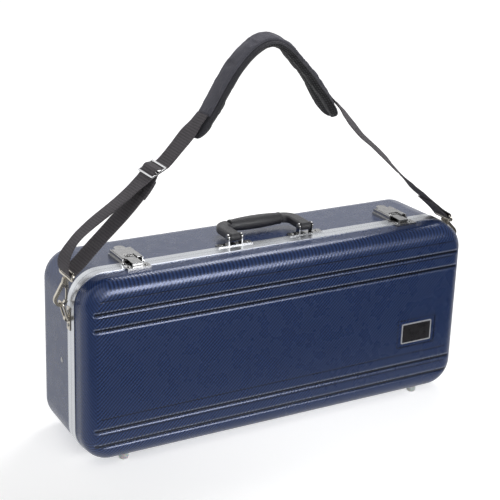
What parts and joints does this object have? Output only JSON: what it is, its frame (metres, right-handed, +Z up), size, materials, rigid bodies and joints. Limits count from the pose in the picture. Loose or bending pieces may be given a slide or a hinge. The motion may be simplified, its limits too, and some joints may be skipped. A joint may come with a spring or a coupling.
{
  "type": "alto saxophone case",
  "caption": "Hard travel case for an alto saxophone, with a hinged lid, draw latches, a folding handle and a padded shoulder strap on swivel hooks",
  "frame": {"origin": "on the floor, under the middle of the closed case, its strap and hooks left out", "axes": "+X along the case to its right end as seen from the lid, +Y from the lid to the back of the base, +Z up; the case stands on its hinge side"},
  "size_m": [0.6845, 0.1766, 0.5969],
  "materials": {
    "shell": "navy moulded plastic, semi-gloss, fine diagonal weave grain",
    "valance": "satin extruded aluminium",
    "hardware": "bright nickel plate over stamped steel",
    "steel": "plain steel pins and rivets",
    "leather": "black grained leather cover over a padded core",
    "glide": "whitish translucent plastic glides",
    "badge": "black enamel, blank",
    "webbing": "black polyester webbing",
    "padding": "black padded cover with a bound edge",
    "plush": "dark plush over moulded foam"
  },
  "bodies": {
    "base": {"base_shell": "shell", "base_rail": "valance", "base_feet": "glide", "base_hinge_leaves": "hardware", "hinge_pins": "steel", "latch_plates": "hardware", "latch_pivots": "steel", "handle_brackets": "hardware", "handle_pins": "steel", "base_rivets": "hardware", "end_rivets": "hardware", "strap_anchors": "hardware", "strap_eyes": "hardware", "strap_left": "webbing", "strap_right": "webbing", "strap_slider": "hardware", "pad_cushion": "padding", "pad_cover": "padding", "back_padding": "plush", "left_block": "plush", "right_block": "plush", "bottom_block": "plush", "top_block": "plush", "divider": "plush", "accessory_tray": "plush"},
    "lid": {"lid_shell": "shell", "lid_rail": "valance", "lid_feet": "glide", "lid_hinge_leaves": "hardware", "latch_catches": "hardware", "lid_rivets": "hardware", "badge_frame": "hardware", "badge_plate": "badge", "lid_padding": "plush"},
    "handle": {"handle_arms": "leather", "handle_grip": "leather", "handle_ferrules": "leather"},
    "lever_left": {"latch_lever_left": "hardware", "claw_pin_left": "steel"},
    "claw_left": {"latch_claw_left": "hardware"},
    "ring_left": {"strap_ring_left": "hardware"},
    "hook_left": {"snap_hook_left": "hardware", "gate_pin_left": "steel"},
    "gate_left": {"snap_gate_left": "hardware"},
    "lever_right": {"latch_lever_right": "hardware", "claw_pin_right": "steel"},
    "claw_right": {"latch_claw_right": "hardware"},
    "ring_right": {"strap_ring_right": "hardware"},
    "hook_right": {"snap_hook_right": "hardware", "gate_pin_right": "steel"},
    "gate_right": {"snap_gate_right": "hardware"}
  },
  "joints": [
    {"name": "lid_hinge", "type": "hinge", "parent": "base", "child": "lid", "pos_m": [0, -0.03965, 0.0047], "axis": [1, 0, 0], "range_deg": [0, 105]},
    {"name": "handle_pivot", "type": "hinge", "parent": "base", "child": "handle", "pos_m": [0, -0.02765, 0.2965], "axis": [1, 0, 0], "range_deg": [0, 170]},
    {"name": "latch_lever_left_turn", "type": "hinge", "parent": "base", "child": "lever_left", "pos_m": [-0.225, -0.02965, 0.29], "axis": [1, 0, 0], "range_deg": [0, 110]},
    {"name": "latch_claw_left_turn", "type": "hinge", "parent": "lever_left", "child": "claw_left", "pos_m": [-0.225, -0.02265, 0.2895], "axis": [1, 0, 0], "range_deg": [-110, 0]},
    {"name": "strap_ring_left_turn", "type": "hinge", "parent": "base", "child": "ring_left", "pos_m": [-0.325, -0.0339, 0.218], "axis": [0, 1, 0], "range_deg": [0, 5]},
    {"name": "snap_hook_left_swivel", "type": "hinge", "parent": "base", "child": "hook_left", "pos_m": [-0.32547, -0.0339, 0.27416], "axis": [0.225, 0, 0.9744], "range_deg": [-8, 8]},
    {"name": "snap_gate_left_turn", "type": "hinge", "parent": "hook_left", "child": "gate_left", "pos_m": [-0.32375, -0.0339, 0.26381], "axis": [0, 1, 0], "range_deg": [0, 30], "stiffness_Nm_per_rad": 0.004, "springref_deg": -28.65},
    {"name": "latch_lever_right_turn", "type": "hinge", "parent": "base", "child": "lever_right", "pos_m": [0.225, -0.02965, 0.29], "axis": [1, 0, 0], "range_deg": [0, 110]},
    {"name": "latch_claw_right_turn", "type": "hinge", "parent": "lever_right", "child": "claw_right", "pos_m": [0.225, -0.02265, 0.2895], "axis": [1, 0, 0], "range_deg": [-110, 0]},
    {"name": "strap_ring_right_turn", "type": "hinge", "parent": "base", "child": "ring_right", "pos_m": [0.325, -0.0339, 0.218], "axis": [0, -1, 0], "range_deg": [0, 5]},
    {"name": "snap_hook_right_swivel", "type": "hinge", "parent": "base", "child": "hook_right", "pos_m": [0.31789, -0.0339, 0.27132], "axis": [-0.4695, 0, 0.8829], "range_deg": [-8, 8]},
    {"name": "snap_gate_right_turn", "type": "hinge", "parent": "hook_right", "child": "gate_right", "pos_m": [0.31891, -0.0339, 0.26088], "axis": [0, -1, 0], "range_deg": [0, 30], "stiffness_Nm_per_rad": 0.004, "springref_deg": -28.65}
  ],
  "couplings": [
    {"joint": "latch_claw_left_turn", "follows": "latch_lever_left_turn", "ratio": -1},
    {"joint": "latch_claw_right_turn", "follows": "latch_lever_right_turn", "ratio": -1}
  ]
}
